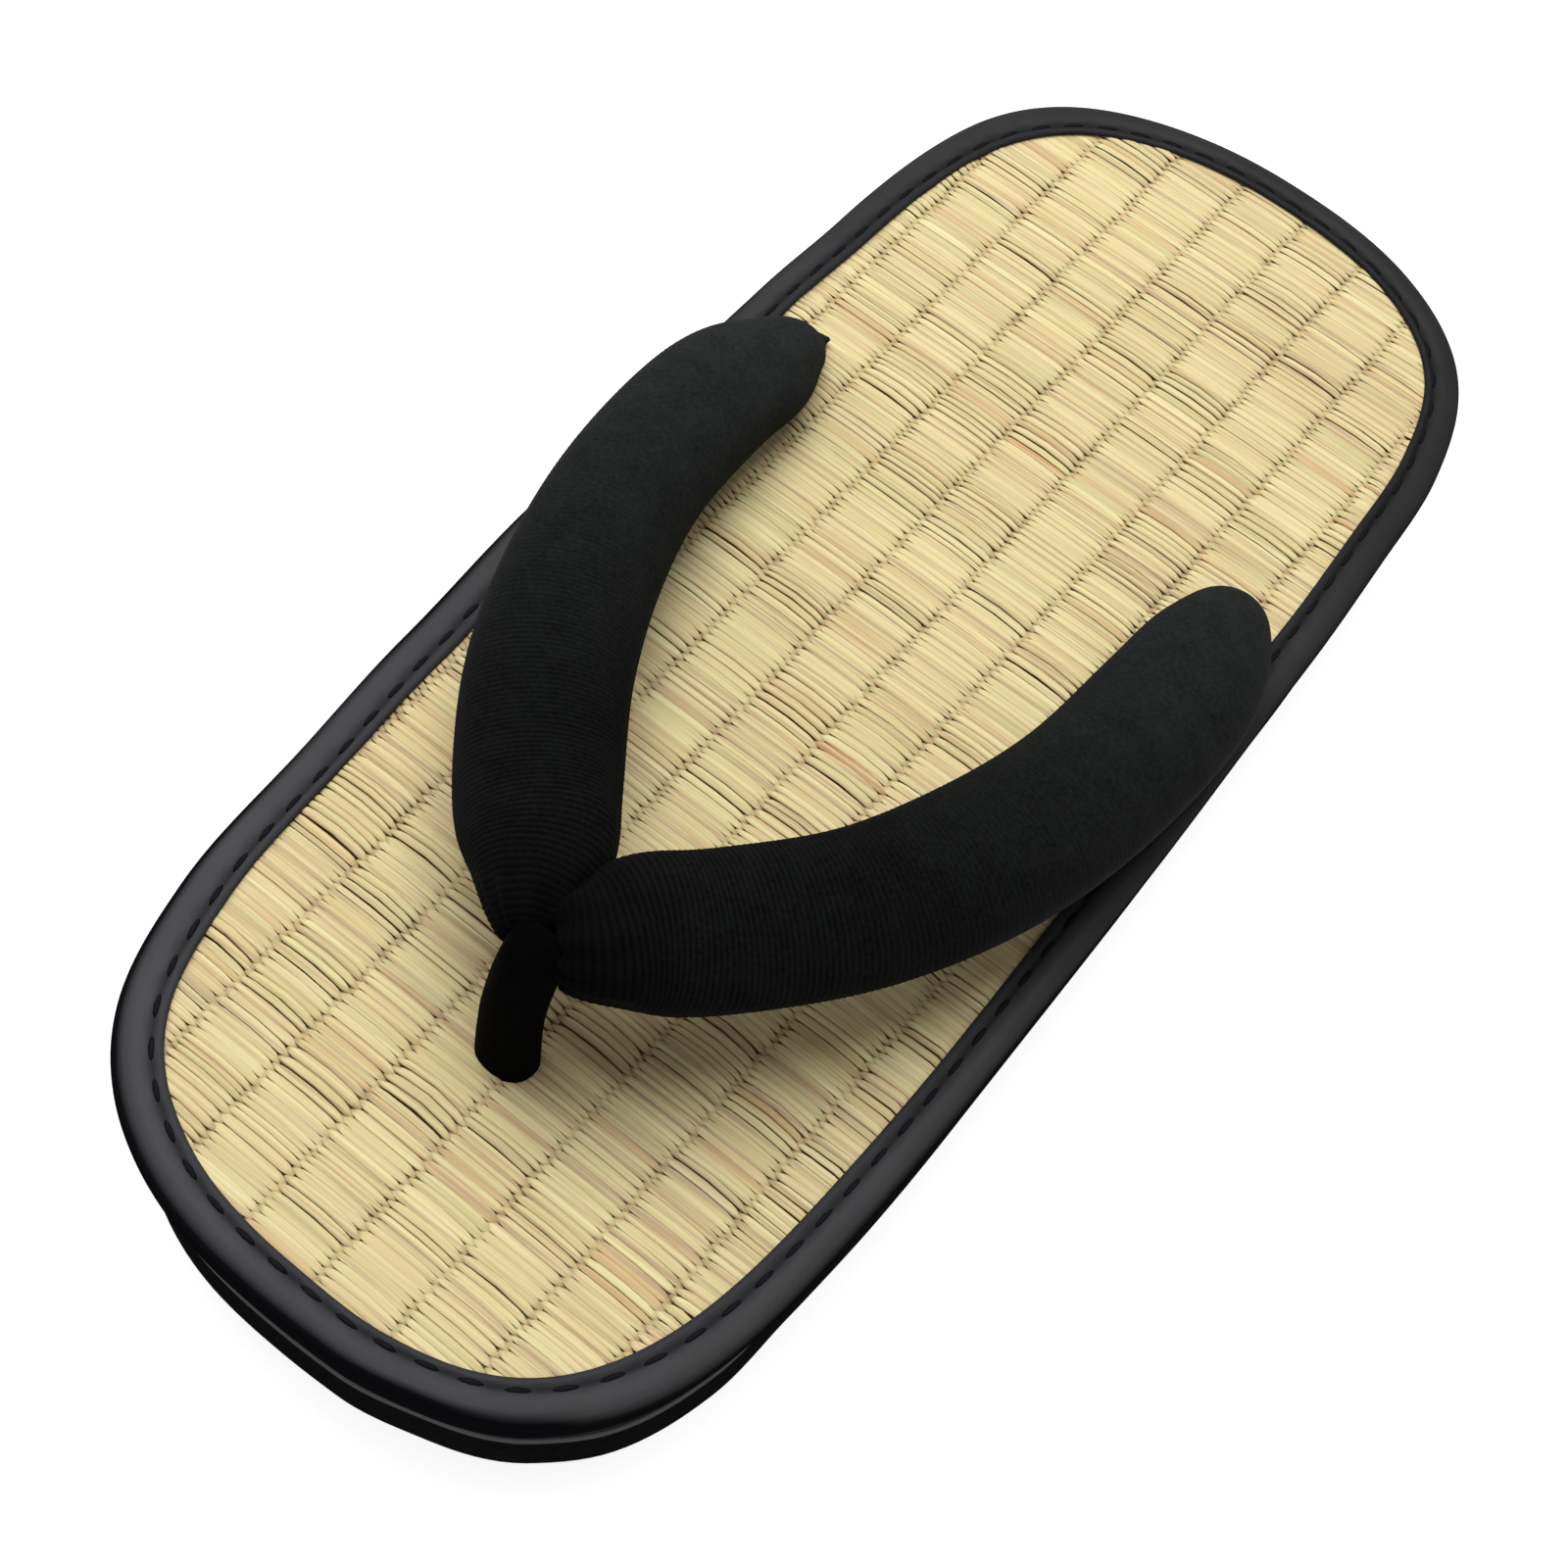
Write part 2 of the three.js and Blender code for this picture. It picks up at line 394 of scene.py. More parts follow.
def edge_point(angle):
    """A point of the outline and its outward direction, in mm."""
    powers = powers_at(math.sin(angle))
    reach = abs(math.cos(angle)) ** (2 / powers["across"])
    climb = abs(math.sin(angle)) ** (2 / powers["along"])
    side = math.copysign(1, math.cos(angle))
    end = math.copysign(1, math.sin(angle))
    point = Vector((side * reach * MAT_WIDTH / 2, end * climb * MAT_LENGTH / 2, 0))
    outward = Vector((
        side * powers["across"] * reach ** (powers["across"] - 1) / MAT_WIDTH,
        end * powers["along"] * climb ** (powers["along"] - 1) / MAT_LENGTH,
        0,
    ))
    return point, outward.normalized()


def even_edge(count):
    """Points at even steps along the outline, each with its outward direction."""
    fine = [edge_point(2 * math.pi * step / FINE_STEPS) for step in range(FINE_STEPS)]
    lengths = [0.0]
    for (here, _), (there, _) in zip(fine, fine[1:] + fine[:1]):
        lengths.append(lengths[-1] + (there - here).length)
    places, step = [], 0
    for index in range(count):
        wanted = lengths[-1] * index / count
        while lengths[step + 1] <= wanted:
            step += 1
        share = (wanted - lengths[step]) / (lengths[step + 1] - lengths[step])
        here, there = fine[step], fine[(step + 1) % FINE_STEPS]
        outward = here[1].lerp(there[1], share).normalized()
        wander = wander_at(index / count, EDGE_WANDER)
        places.append((here[0].lerp(there[0], share) + outward * wander, outward))
    return places, lengths[-1]


EDGE, edge_length = even_edge(EDGE_POINTS)
stitch_pitch = round(edge_length / STITCH_COUNT, 2)
print("edge of the mat", round(edge_length), "mm, one stitch every", stitch_pitch)


# %% Rings that follow the edge
def edge_ring(shape, outs, heights):
    """A closed ring outside the mat's edge, with its reach and height at each point, in mm."""
    ring = bmesh.ops.create_circle(shape, segments=len(EDGE), radius=1)["verts"]
    for vert, (point, outward), out, height in zip(ring, EDGE, outs, heights):
        vert.co = (point + outward * out + Vector((0, 0, height))) * MM
    return ring


def along_edge(table):
    """The value of a table at every point of the edge."""
    return [wander_at(index / EDGE_POINTS, table) for index in range(EDGE_POINTS)]


def all_round(value):
    """The same value at every point of the edge."""
    return [value] * len(EDGE)


def ring_edges(ring):
    """The edges of a ring, found before it is bridged."""
    return list(dict.fromkeys(edge for vert in ring for edge in vert.link_edges))


def bridge_rings(shape, loops):
    """Walls between each loop of edges and the next."""
    for lower, upper in zip(loops, loops[1:]):
        bmesh.ops.bridge_loops(shape, edges=lower + upper)


def close_ends(shape, loops):
    """One face over the first loop and one over the last."""
    for loop in (loops[0], loops[-1]):
        bmesh.ops.edgeloop_fill(shape, edges=loop)


print("ring helpers ready")

# %% [markdown]
# ## Rubber sole
#
# The sole is a slab of black foam rubber, set back a little under the binding and flared towards
# the floor, with a thin bead round its top rim that catches the light at the toe. It could keep its
# CAD solid, but that has flat facets round the toe, so it is drawn again with more points from the
# same profile. It was trimmed by hand too, so a table of its own says how far it stands out. The
# tread is cut with a Boolean, as a mill would cut it.

# %% Draw the sole's wall and close it
SOLE_REACH = 5.6
SOLE_WANDER = [  # share of the way round, mm outwards
    (0.0, -0.2), (0.25, -0.2), (0.5, -0.3), (0.69, -0.1), (0.73, 0.45), (0.75, 0.4), (0.765, 0.3),
    (0.785, -0.05), (0.806, 0.3), (0.822, 0.7), (0.845, 0.5), (0.868, -0.3), (0.9, -0.1),
    (0.94, -0.2), (1.0, -0.2),
]
BEAD_LEVEL = 12.2
BEAD_HIGHLIGHT_FADE = 1.3
SOLE_SIDE = [  # mm outwards, mm over the floor
    (-1.2, 0), (-0.35, 0.35), (0, 1.2), (-0.5, 5.6), (-1.0, 10.0), (-0.75, 10.3),
    (-0.5, 10.7), (-0.34, 11.2), (-0.3, 11.8), (-0.38, 12.3), (-0.62, 12.75), (-1.4, 13),
]

shape = bmesh.new()
bead_highlight_layer = shape.verts.layers.float.new("bead")
loops = []
for out, up in SOLE_SIDE:
    outs = [SOLE_REACH + wander + out for wander in along_edge(SOLE_WANDER)]
    ring = edge_ring(shape, outs, all_round(up))
    for vert in ring:
        # Painted highlight: how much of the bead's lighter grey a point gets.
        vert[bead_highlight_layer] = max(1 - abs(up - BEAD_LEVEL) / BEAD_HIGHLIGHT_FADE, 0)
    loops.append(ring_edges(ring))
bridge_rings(shape, loops)
close_ends(shape, loops)
bmesh.ops.recalc_face_normals(shape, faces=shape.faces)
print("sole wall of", len(loops), "rings")

# %% [markdown]
# Foam rubber is dull and a little open: a fine speckle in its colour and small pits in its skin.
# The bead is painted lighter grey than the wall, a painted highlight where its top catches the
# light. The mesh carries where the bead is.

# %% Foam rubber
sole_rubber, start = new_finish("sole_rubber")
speckle = grain(start, (900, 900, 900), detail=4)
pits = cells(start, 700)
dust = grain(start, (40, 40, 90))
dusted = speckle * 0.6 + dust * 0.4
black_foam = mixed(dusted, (0.001, 0.001, 0.001, 1), (0.011, 0.011, 0.0112, 1))
# The bead's lighter grey is a painted highlight.
set_shader(sole_rubber, {
    "Base Color": mixed(painted(start, "bead"), black_foam, (0.1, 0.1, 0.1, 1)),
    "Roughness": 0.62 + speckle * 0.25,
    "Normal": bumped(pits * 0.7 + speckle * 0.3, 0.00012, 0.6),
    "Specular IOR Level": 0.0,
})
sole = add_piece("rubber_sole", shape, sole_rubber, "outsole")

# %% Cut the tread
CRISP_DEGREES = 40
GROOVE = {"width": 3, "depth": 1.6, "pitch": 9, "border": 9}
TREAD_FIELDS = [{"start": -94, "count": 11}, {"start": 40, "count": 7}]

cutters = bmesh.new()
for field in TREAD_FIELDS:
    for step in range(field["count"]):
        y = field["start"] + step * GROOVE["pitch"]
        half = mat_half_width(y, SOLE_REACH) - GROOVE["border"]
        size = Matrix.Diagonal((2 * half * MM, GROOVE["width"] * MM, 2 * GROOVE["depth"] * MM, 1))
        bmesh.ops.create_cube(cutters, size=1, matrix=Matrix.Translation((0, y * MM, 0)) @ size)
cutter = to_scene("tread_cutters", mesh_of("tread_cutters", cutters))
cut = sole.modifiers.new("tread", "BOOLEAN")
cut.operation = "DIFFERENCE"
cut.solver = "EXACT"
cut.object = cutter
keep_modifiers(sole)
bpy.data.objects.remove(cutter)
sole.data.set_sharp_from_angle(angle=math.radians(CRISP_DEGREES))
groove_count = sum(field["count"] for field in TREAD_FIELDS)
print("tread of", groove_count, "grooves,", len(sole.data.polygons), "faces")

# %% [markdown]
# ## Padding board
#
# The board between sole and mat is wrapped by the binding. Its solid could stay, but the binding
# follows the edge as the hand left it, and the solid's even edge would show below it in places. So
# it is drawn again as a plain slab, just inside the binding. Its finish, a pale pressed board, is
# for anyone who takes the sandal apart.

# %% Pressed board
BOARD_REACH = 3.6
BOARD_BOTTOM = 13
BOARD_TOP = 21.5


def draw_slab(shape, reach, bottom, top):
    """A closed slab along the edge, from one height to another, in mm."""
    loops = [
        ring_edges(edge_ring(shape, all_round(reach), all_round(height)))
        for height in (bottom, top)
    ]
    bridge_rings(shape, loops)
    close_ends(shape, loops)


shape = bmesh.new()
draw_slab(shape, BOARD_REACH, BOARD_BOTTOM, BOARD_TOP)
bmesh.ops.recalc_face_normals(shape, faces=shape.faces)
board_finish, start = new_finish("pressed_board")
fibres = grain(start, (300, 300, 900), detail=5)
set_shader(board_finish, {
    "Base Color": mixed(fibres, (0.36, 0.29, 0.18, 1), (0.52, 0.45, 0.31, 1)),
    "Roughness": 0.85 + fibres * 0.1,
    "Normal": bumped(fibres, 0.0001, 0.5),
})
add_piece("pressed_board", shape, board_finish, "insole", CRISP_DEGREES)

# %% [markdown]
# ## Rush mat
#
# The mat is woven like a floor mat: rush strands lie across the sandal, and pairs of thin warp
# threads run along it every 12 mm. Each strand lies on top in one column and dips under in the
# next, while its neighbour does the opposite. So every column shows half of the strands, the
# columns are staggered like bricks, and a small dark pit is left at the ends of each float. A bump
# pattern would show none of this at the edge, so every float is modelled. It starts as a grid that
# is rolled into a flat tube, because the grid gives its faces and only the bending is worked out.

# %% Lay out the weave
MAT_TOP = 25
MAT_BOTTOM = 21.5
WEAVE_TURN = -0.02
LINE_START = 4.1
LINE_PITCH = 12.2
STRAND_PITCH = 0.64
STRAND_SPREAD = 0.4
TUCK = 2.0
END_TRIES = 12

random.seed(11)
strand_places = [-MAT_LENGTH / 2 - TUCK - 2 * STRAND_PITCH]
while strand_places[-1] < MAT_LENGTH / 2 + TUCK + 2 * STRAND_PITCH:
    widen = random.uniform(1 - STRAND_SPREAD, 1 + STRAND_SPREAD)
    strand_places.append(strand_places[-1] + STRAND_PITCH * widen)


def on_sandal(u, v):
    """A point of the weave, which lies slightly turned, in the sandal's own x and y."""
    cosine, sine = math.cos(WEAVE_TURN), math.sin(WEAVE_TURN)
    return u * cosine - v * sine, u * sine + v * cosine


def strand_end(v, side):
    """How far a strand runs to one side before it ends under the binding."""
    u = side * MAT_WIDTH / 2
    for _ in range(END_TRIES):
        y = on_sandal(u, v)[1]
        u = 0.5 * (u + side * mat_half_width(y, TUCK) + v * math.sin(WEAVE_TURN))
    return u


print(len(strand_places), "strands,", round(MAT_WIDTH / LINE_PITCH, 1), "columns")

# %% [markdown]
# A float rises from under the warp, runs level over its column and dips again. Its two ends are
# narrow, so that the floats of the next column start between them, and a short dark pit is left on
# each side. Floats don't lie evenly: in some places a group of them stands proud and bows, and
# single strands show, and elsewhere they are pressed so flat that the mat looks smooth.

# %% The run of one float
FLOAT_RUN = [  # place in the column, share of the full rise, share of the full width
    (-0.6, 0.3, 0.42),
    (0.1, 0.7, 0.66),
    (0.8, 0.93, 0.9),
    (2.0, 1.0, 0.99),
    (6.1, 1.0, 1.0),
    (10.2, 1.0, 0.99),
    (11.4, 0.93, 0.9),
    (12.1, 0.7, 0.66),
    (12.8, 0.3, 0.42),
]
FLOAT_SECTION = [  # place across from the middle, share of the crown's height
    (-1.0, 0.0), (-0.7, 0.8), (0.0, 1.0), (0.7, 0.8), (1.0, 0.0), (0.0, -1.5),
]
FLOAT_LOW = -0.62
FLOAT_RISE = 0.6
PROUD_LIFT = 0.2
END_STRAY = 0.35
FLAT_CROWN = 0.06
PROUD_CROWN = 0.24
SHORTEST_FLOAT = 1.0
CUT_END = (0.6, 0.9, 0.0)  # rise, width and bow where the binding cuts a float short
PROUD = {"per_column": 5.7, "per_mm": 0.17, "seed": 1.5, "from": 0.02, "range": 0.4}
BOW = {"per_column": 3.1, "per_mm": 0.09, "seed": 8.5, "least": 0.2, "proud": 0.35, "wander": 0.3}


def kept(value):
    """A number kept from 0 to 1."""
    return min(max(value, 0), 1)


def slow_noise(table, column, v):
    """Noise that jumps from column to column and changes slowly along the mat."""
    return noise.noise(Vector((column * table["per_column"], v * table["per_mm"], table["seed"])))


def group_mood(column, v):
    """How proud the floats stand at a place, from 0 to 1, and how far they bow, in mm."""
    proud = kept((slow_noise(PROUD, column, v) - PROUD["from"]) / PROUD["range"])
    bow = BOW["least"] + BOW["proud"] * proud + BOW["wander"] * slow_noise(BOW, column, v)
    return proud, bow


def float_stations(column, stray, low, high):
    """The rows of a float between the ends of its strand: u, rise, width and share of the bow."""
    left = LINE_START + column * LINE_PITCH + stray
    rows = []
    for place, rise, width in FLOAT_RUN:
        from_middle = (place - LINE_PITCH / 2) / (LINE_PITCH / 2)
        rows.append((left + place, rise, width, 1 - min(from_middle ** 2, 1)))
    inside = [row for row in rows if low < row[0] < high]
    if rows[0][0] < low:
        inside = [(low, *CUT_END)] + inside
    if rows[-1][0] > high:
        inside = inside + [(high, *CUT_END)]
    return inside


print("a float has up to", len(FLOAT_RUN), "stations of", len(FLOAT_SECTION), "points")

# %% [markdown]
# Three values go to the vertices for the finish: the strand's tint, how deep a point lies, which
# sets a painted shade where it sinks, and how dark the painted shade in the crease along its two
# sides is.

# %% Roll every float
LONELY = {"share": 0.025, "gap": 0.1}
RED = {"share": 0.007, "tint": 1.07}
PROUD_GAP = 0.02
STOUT = {"spread": 0.05, "least": 0.3}
SHADE_SPREAD = 0.12
SUNK = {"from": 0.95, "range": 0.75}
DARK_LINE = {"power": 1.5, "flat": 0.6, "proud": 0.4}

shape = bmesh.new()
tint_layer = shape.verts.layers.float.new("tint")
sunk_layer = shape.verts.layers.float.new("sunk")
crease_shade_layer = shape.verts.layers.float.new("line")
float_count = 0
for index in range(2, len(strand_places) - 2):
    v = strand_places[index]
    low, high = strand_end(v, -1), strand_end(v, 1)
    strand_tint = random.random()
    stout = random.uniform(-STOUT["spread"], STOUT["spread"])
    before, after = strand_places[index - 2], strand_places[index + 2]
    reach = {-1: 0.5 * (v - before), 0: 0.0, 1: 0.5 * (after - v)}
    first = math.floor((low - LINE_START) / LINE_PITCH)
    last = math.floor((high - LINE_START) / LINE_PITCH)
    for column in range(first, last + 1):
        stations = float_stations(column, random.uniform(-END_STRAY, END_STRAY), low, high)
        shade = random.uniform(-SHADE_SPREAD, SHADE_SPREAD)
        dark_line = random.random() ** DARK_LINE["power"]
        lonely, red = random.random() < LONELY["share"], random.random() < RED["share"]
        if (index + column) % 2 or stations[-1][0] - stations[0][0] < SHORTEST_FLOAT:
            continue
        grid = bmesh.ops.create_grid(
            shape, x_segments=len(stations) - 1, y_segments=len(FLOAT_SECTION), size=1
        )["verts"]
        proud, bow = group_mood(column, v)
        crown_height = FLAT_CROWN + (PROUD_CROWN - FLAT_CROWN) * proud
        lift = FLOAT_RISE + stout * (STOUT["least"] + proud) + PROUD_LIFT * proud
        gap = LONELY["gap"] if lonely else PROUD_GAP * proud
        tint = RED["tint"] if red else kept(strand_tint + shade)
        # Painted shade in the crease along the float's two sides.
        side_crease_shade = dark_line * (DARK_LINE["flat"] + DARK_LINE["proud"] * proud)
        for vert in grid:
            u, rise, width, bowed = stations[round((vert.co.x + 1) / 2 * (len(stations) - 1))]
            number = round((vert.co.y + 1) / 2 * len(FLOAT_SECTION)) % len(FLOAT_SECTION)
            across, crown = FLOAT_SECTION[number]
            side = (across > 0) - (across < 0)
            aside = abs(across) * side * (reach[side] - gap) * width
            height = FLOAT_LOW + lift * rise + crown_height * crown
            x, y = on_sandal(u, v + aside + bow * bowed)
            vert.co = Vector((x, y, MAT_TOP + height)) * MM
            vert[tint_layer] = tint
            # Painted shade: how far a point sinks under the warp.
            vert[sunk_layer] = kept((SUNK["from"] - rise) / SUNK["range"])
            # The float's edges carry the painted crease shade.
            vert[crease_shade_layer] = side_crease_shade if abs(across) == 1 else 0.0
        float_count += 1
bmesh.ops.remove_doubles(shape, verts=shape.verts, dist=1e-8)
open_ends = [edge for edge in shape.edges if edge.is_boundary]
bmesh.ops.holes_fill(shape, edges=open_ends, sides=8)
bmesh.ops.recalc_face_normals(shape, faces=shape.faces)
print(float_count, "floats,", len(shape.faces), "faces")

# %% [markdown]
# Dry rush runs from greenish straw to tan, strand by strand, with a rare red-brown one. Thin
# streaks along it are brown or bright, and fine fibres darken it. Each is a noise that is stretched
# along the strands. The lines between strands are painted brown, a painted shade in the creases,
# some more and some less, and the ends that dip under the warp are painted browner still, a
# painted shade where they sink.

# %% Dry rush
STRAND_CRISP_DEGREES = 50
RUSH_TINTS = [  # share of the way from green to red-brown, colour
    (0.00, (0.475, 0.442, 0.232)), (0.14, (0.555, 0.495, 0.260)), (0.40, (0.588, 0.502, 0.276)),
    (0.64, (0.625, 0.540, 0.312)), (0.84, (0.570, 0.466, 0.250)), (0.95, (0.520, 0.382, 0.200)),
    (1.00, (0.430, 0.215, 0.105)),
]
rush, start = new_finish("dry_rush")
fibres = grain(start, (45, 2600, 2600), detail=4)
streaks = grain(start, (22, 1500, 1500), detail=2)
glow = grain(start, (16, 1300, 1300), detail=2)
blotches = grain(start, (60, 240, 60), detail=3)
tinted = painted(start, "tint") * 0.84 + blotches * 0.16
strand_colour = start.node("ShaderNodeValToRGB", {"Fac": tinted}, stops=RUSH_TINTS)
greyed = mixed((streaks * 5 - 2.4).clamped(), strand_colour, (0.43, 0.325, 0.205, 1))
glowing = mixed((glow * 5 - 2.5).clamped(), greyed, (0.665, 0.62, 0.345, 1))
streaked = mixed((fibres * 1.5 - 0.45).clamped(), glowing, (0.74, 0.62, 0.48, 1), "MULTIPLY")
# Painted shade: the creases between strands are darkened brown.
crease_shaded = mixed(painted(start, "line"), streaked, (0.46, 0.29, 0.17, 1), "MULTIPLY")
# Painted shade on the ends that sink under the warp.
sunk_shade = painted(start, "sunk") * 0.7
set_shader(rush, {
    "Base Color": mixed(sunk_shade, crease_shaded, (0.46, 0.36, 0.26, 1), "MULTIPLY"),
    "Roughness": 0.55 + fibres * 0.3,
    "Normal": bumped(fibres, 0.00008, 0.6),
    "Specular IOR Level": 0.1,
})
add_piece("rush_strands", shape, rush, "rush_mat", STRAND_CRISP_DEGREES)

# %% [markdown]
# Under the strands lies the mat's back, which the binding also wraps. A closed slab stops any gap
# between strands from showing through. The warp threads run on it in pairs, and only show where a
# strand dips under them.

# %% The mat's back and the warp threads
BACKING_REACH = 3.9
BACKING_TOP = 24.2
WARP = {"apart": 0.55, "radius": 0.18, "below_top": 0.55, "sides": 6, "from_edge": 1.5}
WARP_LINES = range(-5, 5)
WARP_POWERS = {"across": 2.6, "along": 6.4}

shape = bmesh.new()
draw_slab(shape, BACKING_REACH, MAT_BOTTOM, BACKING_TOP)
thread_count = 0
for number in WARP_LINES:
    for side in (-1, 1):
        u = LINE_START + number * LINE_PITCH + side * WARP["apart"]
        if abs(u) > MAT_WIDTH / 2 - WARP["from_edge"]:
            continue
        share = (abs(u) / (MAT_WIDTH / 2)) ** WARP_POWERS["across"]
        half = MAT_LENGTH / 2 * (1 - share) ** (1 / WARP_POWERS["along"])
        x, y = on_sandal(u, 0)
        place = Matrix.Translation(Vector((x, y, MAT_TOP - WARP["below_top"])) * MM)
        lay = Matrix.Rotation(WEAVE_TURN, 4, "Z") @ Matrix.Rotation(math.pi / 2, 4, "X")
        bmesh.ops.create_cone(
            shape, cap_ends=True, segments=WARP["sides"], radius1=WARP["radius"] * MM,
            radius2=WARP["radius"] * MM, depth=2 * half * MM, matrix=place @ lay,
        )
        thread_count += 1
bmesh.ops.recalc_face_normals(shape, faces=shape.faces)
print(thread_count, "warp threads")

# %% Hemp and the mat's back
hemp, start = new_finish("hemp_back")
twist = grain(start, (900, 250, 900), detail=4)
set_shader(hemp, {
    "Base Color": mixed(twist, (0.10, 0.06, 0.03, 1), (0.26, 0.18, 0.09, 1)),
    "Roughness": 0.75 + twist * 0.2,
    "Normal": bumped(twist, 0.0001, 0.6),
})
add_piece("mat_back", shape, hemp, "rush_mat", CRISP_DEGREES)

# %% [markdown]
# ## Sewn binding
#
# A strip of soft vinyl wraps the edge of mat and board. It rolls over the rim, dips into a sewn
# groove 2 mm from its inner edge, and ends in a narrow lip. Its section goes round the plan on
# rings. The groove is pulled down further at every needle hole, so there are four points to a
# stitch and the hole takes one of them. A level of subdivision rounds it all. The hand left the
# strip wider in some places than in others, and the seam a little off its line: two tables say how
# far. A third says where the painted shade on the rim begins.

# %% Roll the strip round the edge
BINDING_SECTION = [  # mm out from the mat's edge, mm over the mat's top
    (4.2, -12.3), (4.8, -12.3), (5.5, -11), (6.1, -8.5), (6.6, -4.5), (6.8, -1.8), (6.75, -0.4),
    (6.5, 0.55), (6.0, 1.06), (5.0, 1.28), (3.6, 1.32), (2.6, 1.12), (2.0, 0.62), (1.45, 1.0),
    (0.7, 1.05), (0.05, 0.7), (0, 0), (4.2, -1),
]
STRIP_MIDDLE = 3.4
STRIP_SPREAD = [  # share of the way round, mm more on each side
    (0.0, 0.15), (0.14, -0.1), (0.21, -0.5), (0.28, -0.5), (0.33, 0.0), (0.38, -0.15),
    (0.42, -0.25), (0.45, 0.0), (0.56, 0.3), (0.62, 0.05), (0.66, 0.25), (0.7, 0.3), (0.725, 0.15),
    (0.745, 0.0), (0.765, -0.15), (0.785, -0.35), (0.806, -0.2), (0.83, 0.1), (0.88, -0.05),
    (0.93, -0.05), (1.0, 0.15),
]
SEWN_OUT = 2.0
SEAM_SHIFT = [  # share of the way round, mm outwards
    (0.0, 0.0), (0.12, -0.2), (0.18, -0.4), (0.25, -0.1), (0.32, -0.3), (0.4, 0.0), (0.56, -0.1),
    (0.62, -0.4), (0.78, -0.4), (0.81, 0.0), (0.86, 0.25), (0.9, 0.3), (1.0, 0.0),
]
SEAM_REACH = 1.5
# The rim's black is painted shade, where the rim turns down away from the light.
RIM_SHADE_FROM = [  # share of the way round, mm from the mat's edge to where the rim is black
    (0.0, 6.2), (0.3, 6.2), (0.5, 5.4), (0.56, 5.1), (0.6, 5.4), (0.64, 5.0), (0.72, 4.7),
    (0.76, 4.8), (0.785, 5.1), (0.805, 5.4), (0.82, 6.2), (0.85, 6.2), (0.9, 6.0), (1.0, 6.2),
]
RIM_SHADE_FADE = 0.9
# The wall under the rim is painted black as painted shade, below this height.
WALL_SHADE_FROM = 0.7
WALL_SHADE_FADE = 1.2
# How far towards black the inner lip is painted.
LIP_BLACK = 0.25
HOLE_PULL = {SEWN_OUT: 0.55, 2.6: 0.22, 1.45: 0.2}  # mm out from the mat's edge, mm down
RIPPLE = {"height": 0.07, "per_mm": 0.09, "per_line": 0.4, "above": -4}


def strip_outs(out):
    """The reach of one line of the strip along the edge, with the width as the hand left it."""
    spread = (out - STRIP_MIDDLE) / STRIP_MIDDLE
    near_seam = max(1 - abs(out - SEWN_OUT) / SEAM_REACH, 0)
    return [
        out + spread * more + near_seam * shift
        for more, shift in zip(along_edge(STRIP_SPREAD), along_edge(SEAM_SHIFT))
    ]


def pulled_heights(out, up):
    """The height of the strip along the edge, pulled down at the needle holes."""
    heights = []
    ripples = up > RIPPLE["above"] and out > 0
    for index, (point, _) in enumerate(EDGE):
        pull = HOLE_PULL.get(out, 0) if index % POINTS_PER_STITCH == 0 else 0
        place = Vector((*(point.xy * RIPPLE["per_mm"]), out * RIPPLE["per_line"]))
        ripple = RIPPLE["height"] * noise.noise(place) if ripples else 0
        heights.append(MAT_TOP + up - pull + ripple)
    return heights


shape = bmesh.new()
groove_shade_layer = shape.verts.layers.float.new("groove")
wall_shade_layer = shape.verts.layers.float.new("wall")
loops = []
for out, up in BINDING_SECTION:
    ring = edge_ring(shape, strip_outs(out), pulled_heights(out, up))
    for vert, rim_shade_from in zip(ring, along_edge(RIM_SHADE_FROM)):
        # Painted shade: black on the outer rim and the wall under it, and darker in the sewn
        # groove.
        rim_shade = max((WALL_SHADE_FROM - up) / WALL_SHADE_FADE, (out - rim_shade_from) / RIM_SHADE_FADE)
        vert[groove_shade_layer] = 1.0 if out == SEWN_OUT else 0.0
        vert[wall_shade_layer] = kept(rim_shade) if out > SEWN_OUT else LIP_BLACK
    loops.append(ring_edges(ring))
bridge_rings(shape, loops + loops[:1])
bmesh.ops.recalc_face_normals(shape, faces=shape.faces)
print("binding of", len(loops), "rings")

# %% [markdown]
# The vinyl is charcoal with a satin face and a fine pebble grain. The face is painted lighter
# grey towards the toe and on the left, painted light over a random cloud. The rim, the wall under
# it and the sewn groove are painted black as painted shade, and the lip a little darker. The mesh
# carries where they are.

# %% Charcoal vinyl
vinyl, start = new_finish("charcoal_vinyl")
# Painted shade: the groove, the rim and the wall under it go black, and the lip a little darker.
painted_shade_mask = (painted(start, "groove") * 0.4 + painted(start, "wall")).clamped()
pebble = cells(start, 1500)
cloudy = grain(start, (70, 70, 70))
# Painted light: the face is lighter towards the toe and on the left, over a random cloud.
toe_half = (0.5 - along_axis(start, "Y") * 6).clamped()
painted_light = (cloudy * 0.4 - 0.05 + toe_half * 0.65 - along_axis(start, "X") * 3).clamped()
face_colour = mixed(painted_light, (0.018, 0.018, 0.0188, 1), (0.047, 0.047, 0.050, 1))
set_shader(vinyl, {
    "Base Color": mixed(painted_shade_mask, face_colour, (0.004, 0.004, 0.005, 1)),
    "Roughness": 0.44 + cloudy * 0.12 + pebble * 0.1,
    "Normal": bumped(pebble, 0.00008, 0.45),
    "Coat Weight": (1 - painted_shade_mask) * 0.06,
    "Coat Roughness": 0.35,
    "Specular IOR Level": 0.0,
})
binding = add_piece("sewn_binding", shape, vinyl, "edge_binding")
round_off(binding, levels=1)

# %% [markdown]
# The thread shows as a dash between each pair of holes. A low ball stretched along the groove is
# enough at this size, and its ends dip into the holes by themselves.

